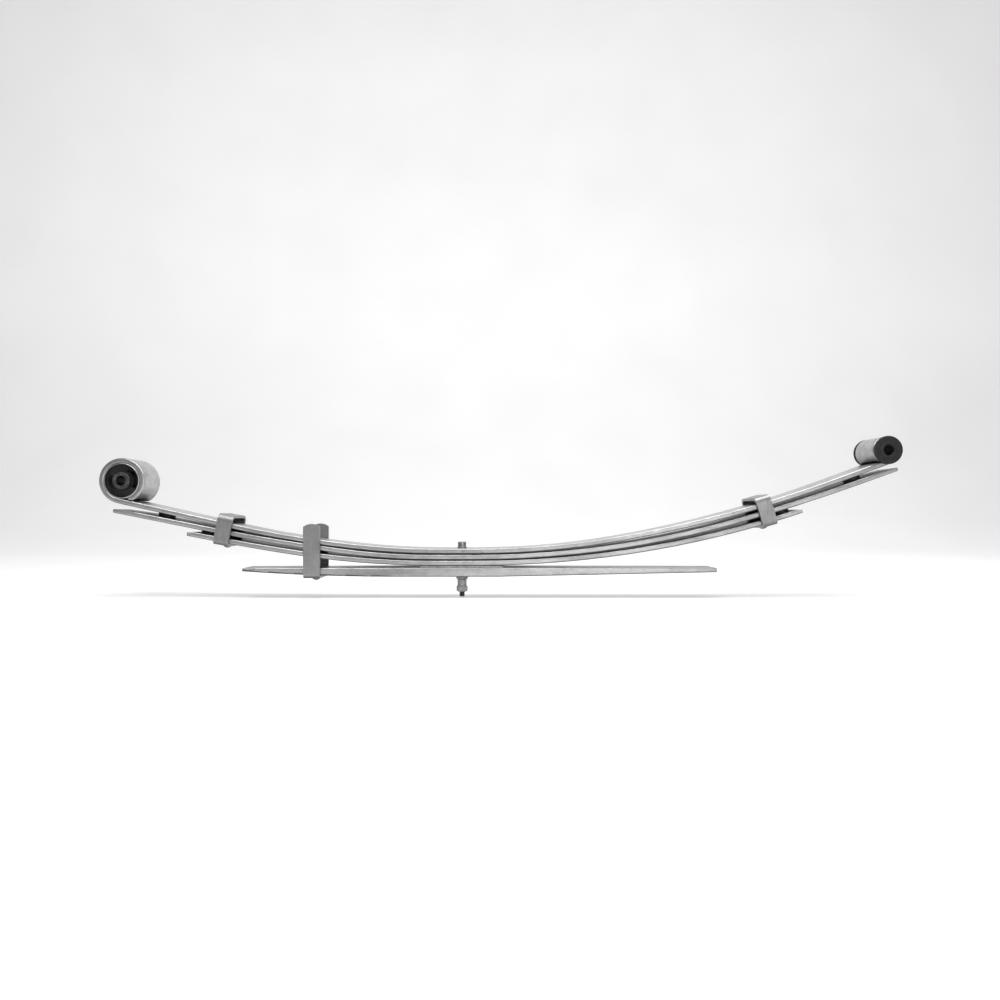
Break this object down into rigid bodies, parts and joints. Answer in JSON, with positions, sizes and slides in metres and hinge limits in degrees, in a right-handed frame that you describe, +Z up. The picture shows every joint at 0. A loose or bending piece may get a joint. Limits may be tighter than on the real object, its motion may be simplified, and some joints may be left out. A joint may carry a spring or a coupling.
{
  "type": "leaf spring",
  "caption": "Upswept automotive leaf spring pack with rolled eyes, bonded and split rubber bushes, strap clips, centre bolt and a straight overload leaf.",
  "frame": {"origin": "the centre bolt's axis at the axle seat, the underside of the overload leaf", "axes": "+X along the spring to the rear (shackle) eye, Y across the leaves, +Z up from the axle seat to the top of the pack"},
  "size_m": [1.3598, 0.0724, 0.2744],
  "materials": {
    "spring_steel": "satin silver-grey coating over hot-rolled spring steel, faint rolling streaks",
    "strap_steel": "satin mid-grey coated strap, brushed along its length",
    "hardware_steel": "dark oiled steel, machined",
    "bush_steel": "turned steel tube, dull",
    "rubber": "matte moulded rubber",
    "liner": "matte black low-friction sheet and pads"
  },
  "bodies": {
    "seat": {"main_leaf": "spring_steel", "second_leaf": "spring_steel", "third_leaf": "spring_steel", "overload_leaf": "spring_steel", "centre_spacer": "hardware_steel", "lower_centre_liner": "liner", "upper_centre_liner": "liner", "centre_bolt": "hardware_steel", "bolt_washer": "hardware_steel", "locating_collar": "hardware_steel", "centre_nut": "hardware_steel", "guide_clip": "strap_steel", "guide_clip_rivet": "hardware_steel"},
    "front_end": {"front_bush_outer_sleeve": "bush_steel", "front_bush_rubber": "rubber", "front_rebound_clip": "strap_steel", "front_clip_rivet": "hardware_steel", "second_leaf_front_pad": "liner", "third_leaf_front_pad": "liner"},
    "front_inner_sleeve": {"front_bush_inner_sleeve": "bush_steel"},
    "rear_end": {"rear_rebound_clip": "strap_steel", "rear_clip_rivet": "hardware_steel", "second_leaf_rear_pad": "liner", "third_leaf_rear_pad": "liner"},
    "rear_bush": {"rear_bush_near_half": "rubber", "rear_bush_far_half": "rubber"}
  },
  "joints": [
    {"name": "rear_flex", "type": "hinge", "parent": "seat", "child": "rear_end", "pos_m": [0.2, 0, 0.046], "axis": [0, 1, 0], "range_deg": [-2, 9.4], "stiffness_Nm_per_rad": 3490, "deforming": ["main_leaf", "second_leaf", "third_leaf"]},
    {"name": "front_flex", "type": "hinge", "parent": "seat", "child": "front_end", "pos_m": [-0.16, 0, 0.04], "axis": [0, -1, 0], "range_deg": [-1.6, 7.5], "stiffness_Nm_per_rad": 4400, "deforming": ["main_leaf", "second_leaf", "third_leaf"]},
    {"name": "front_bush_twist", "type": "hinge", "parent": "front_end", "child": "front_inner_sleeve", "pos_m": [-0.57605, 0, 0.16303], "axis": [0, 1, 0], "range_deg": [-20, 20], "stiffness_Nm_per_rad": 80},
    {"name": "rear_bush_turn", "type": "hinge", "parent": "rear_end", "child": "rear_bush", "pos_m": [0.72103, 0, 0.21473], "axis": [0, 1, 0], "range_deg": [-35, 35]}
  ],
  "couplings": [
    {"joint": "front_flex", "follows": "rear_flex", "ratio": 0.793}
  ]
}
